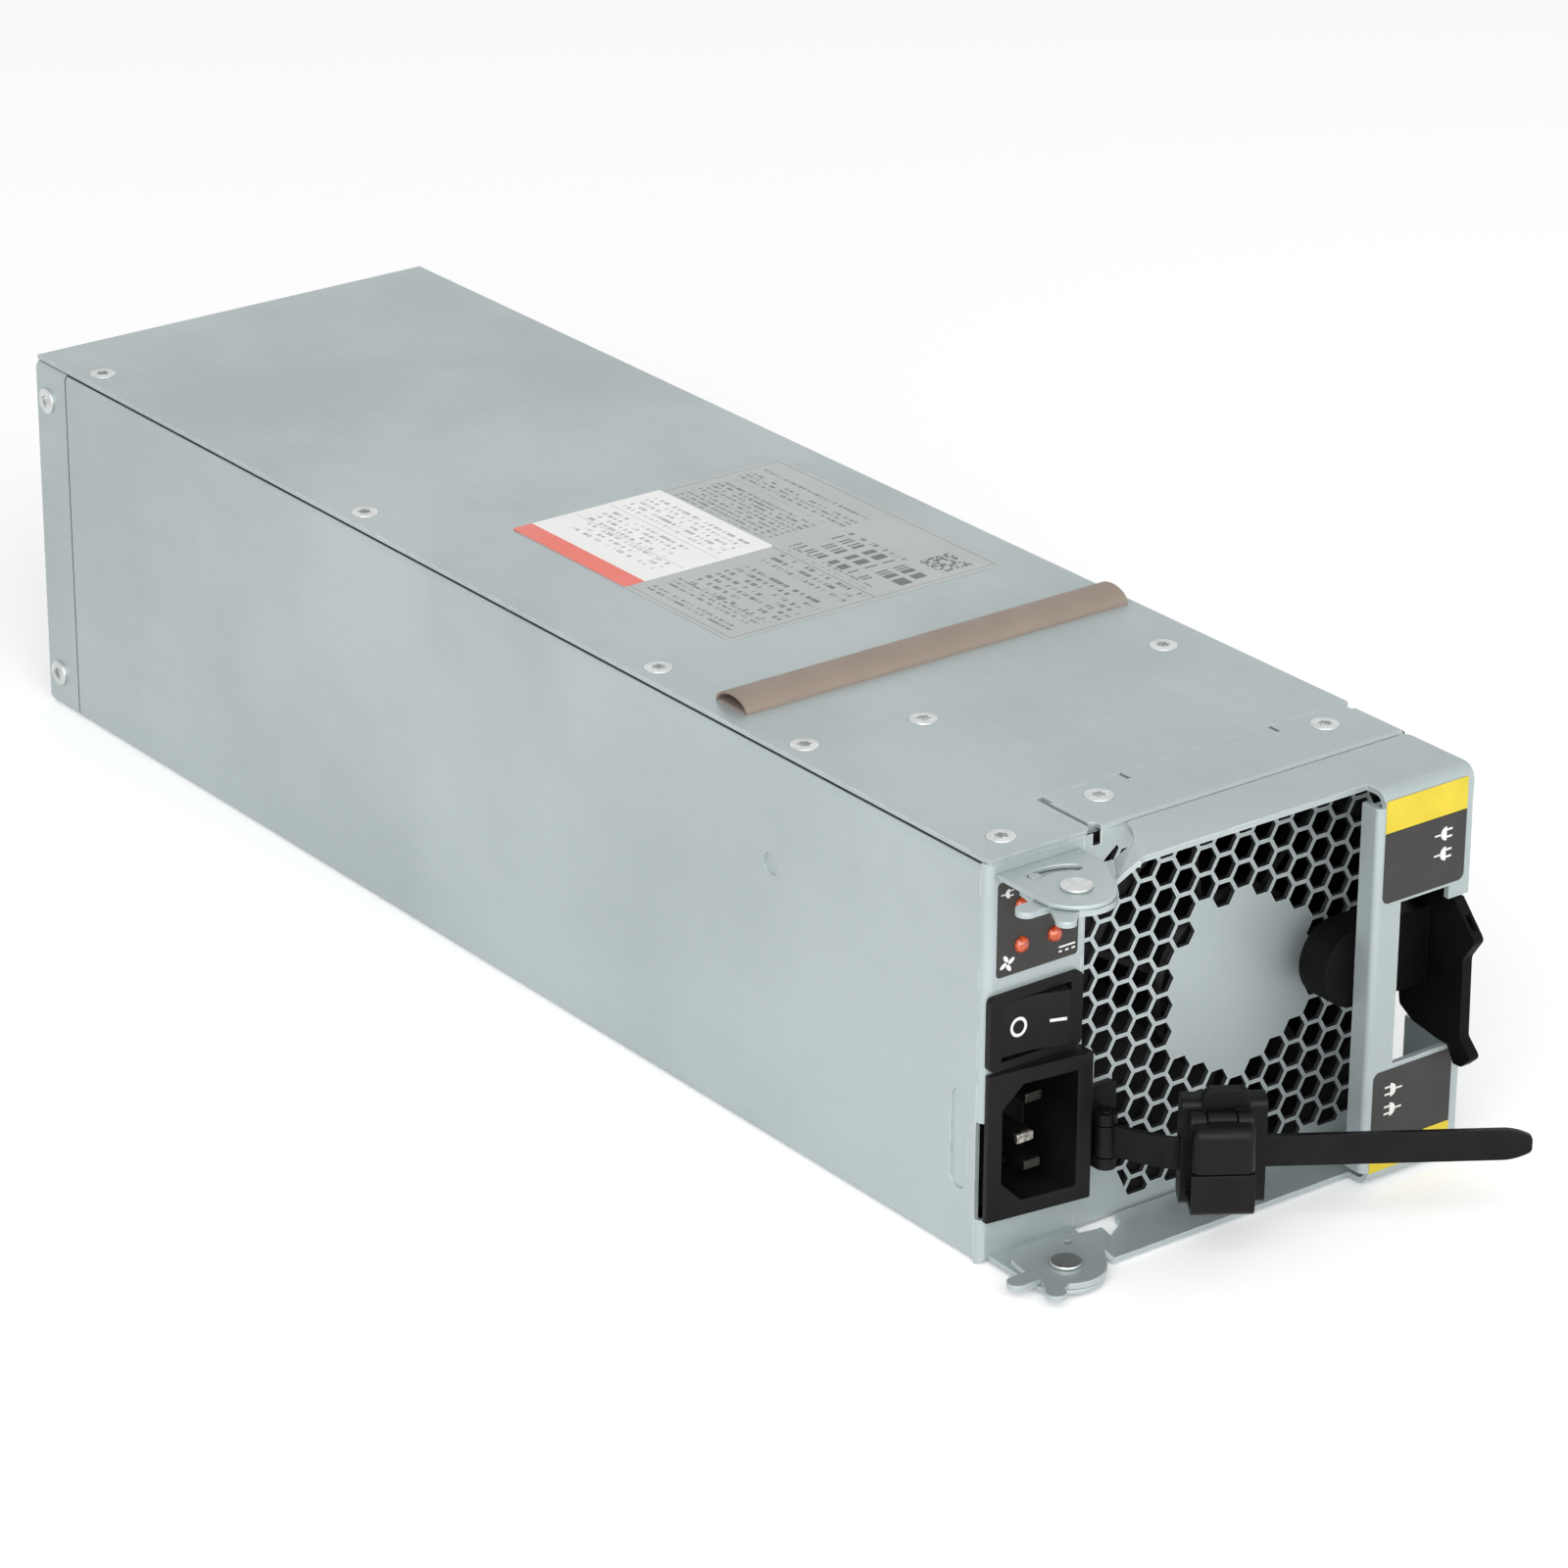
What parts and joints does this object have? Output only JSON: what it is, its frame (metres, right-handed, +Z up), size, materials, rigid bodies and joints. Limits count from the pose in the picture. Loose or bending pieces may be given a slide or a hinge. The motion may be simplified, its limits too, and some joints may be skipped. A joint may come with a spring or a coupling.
{
  "type": "hot swap server power supply",
  "caption": "Hot swap server power supply in a folded steel case, with a hinged cam handle, sliding latch, mains inlet, switch, fans behind a hexagon grille and a cord clamp",
  "frame": {"origin": "centre of the underside of the case", "axes": "X runs across the front from inlet side to latch side, Y from the front face to the rear, Z up"},
  "size_m": [0.1086, 0.395, 0.0873],
  "materials": {
    "zinc_steel": "satin zinc coated sheet",
    "plated_screw": "zinc plated",
    "conductive_gasket": "conductive cloth over foam",
    "black_plastic": "fine matte",
    "pin_metal": "bright",
    "amber_lens": "clear amber",
    "circuit_board": "solder mask",
    "fan_plastic": "glass filled",
    "brown_film": "film",
    "capacitor_sleeve": "shrink sleeve",
    "choke_core": "ferrite and winding",
    "heat_sink_metal": "extruded",
    "blade_metal": "gold plated",
    "wire_sleeve": "insulation",
    "nylon": "moulded nylon",
    "latch_plastic": "fine texture"
  },
  "bodies": {
    "chassis": {"chassis_tray": "zinc_steel", "front_panel": "zinc_steel", "fan_grille": "zinc_steel", "front_top_flange": "zinc_steel", "top_cover": "zinc_steel", "rear_panel": "zinc_steel", "cover_screws": "plated_screw", "rear_panel_screws": "plated_screw", "emi_gasket": "conductive_gasket", "upper_pivot_ear": "zinc_steel", "lower_pivot_ear": "zinc_steel", "upper_pivot_rivet": "plated_screw", "lower_pivot_rivet": "plated_screw", "ac_inlet": "black_plastic", "inlet_pins": "pin_metal", "switch_housing": "black_plastic", "status_lamps": "amber_lens", "lamp_board": "circuit_board", "front_fan_frame": "fan_plastic", "rear_fan_frame": "fan_plastic", "fan_bracket": "zinc_steel", "insulator_sheet": "brown_film", "board_standoffs": "pin_metal", "main_board": "circuit_board", "bulk_capacitors": "capacitor_sleeve", "filter_chokes": "choke_core", "boost_choke": "choke_core", "transformer": "choke_core", "primary_heat_sink": "heat_sink_metal", "secondary_heat_sink": "heat_sink_metal", "power_transistors": "black_plastic", "control_board": "circuit_board", "fuse_holder": "pin_metal", "dc_output_connector": "black_plastic", "output_blades": "blade_metal", "inlet_wires": "wire_sleeve", "strap_anchor": "nylon", "strap_pin": "nylon"},
    "handle": {"handle_bail": "zinc_steel"},
    "latch": {"handle_latch": "latch_plastic"},
    "rocker_body": {"rocker": "black_plastic"},
    "front_rotor": {"front_fan_rotor": "fan_plastic"},
    "rear_rotor": {"rear_fan_rotor": "fan_plastic"},
    "strap": {"retention_strap": "nylon"},
    "clamp": {"cable_clamp_body": "nylon"},
    "gate": {"cable_clamp_gate": "nylon"}
  },
  "joints": [
    {"name": "handle_swing", "type": "hinge", "parent": "chassis", "child": "handle", "pos_m": [-0.04205, -0.1836, 0.042], "axis": [0, 0, -1], "range_deg": [0, 55]},
    {"name": "latch_slide", "type": "slide", "parent": "handle", "child": "latch", "axis": [-1, 0, 0], "range_m": [0, 0.0035], "stiffness_N_per_m": 200},
    {"name": "rocker_tilt", "type": "hinge", "parent": "chassis", "child": "rocker_body", "pos_m": [-0.0409, -0.1689, 0.0489], "axis": [0, 0, 1], "range_deg": [0, 14]},
    {"name": "front_fan_spin", "type": "hinge", "parent": "chassis", "child": "front_rotor", "pos_m": [0.01075, -0.1504, 0.0422], "axis": [0, 1, 0], "continuous": true},
    {"name": "rear_fan_spin", "type": "hinge", "parent": "chassis", "child": "rear_rotor", "pos_m": [0.01075, -0.1119, 0.0422], "axis": [0, 1, 0], "continuous": true},
    {"name": "strap_swing", "type": "hinge", "parent": "chassis", "child": "strap", "pos_m": [-0.02525, -0.1744, 0.0208], "axis": [0, 0, -1], "range_deg": [0, 55]},
    {"name": "clamp_slide", "type": "slide", "parent": "strap", "child": "clamp", "axis": [0.8368, -0.5476, 0], "range_m": [0, 0.035]},
    {"name": "gate_swing", "type": "hinge", "parent": "clamp", "child": "gate", "pos_m": [-0.01503, -0.19568, 0.0299], "axis": [-0.8368, 0.5476, 0], "range_deg": [0, 70]}
  ],
  "couplings": [
    {"joint": "strap_swing", "follows": "handle_swing", "ratio": 1}
  ]
}
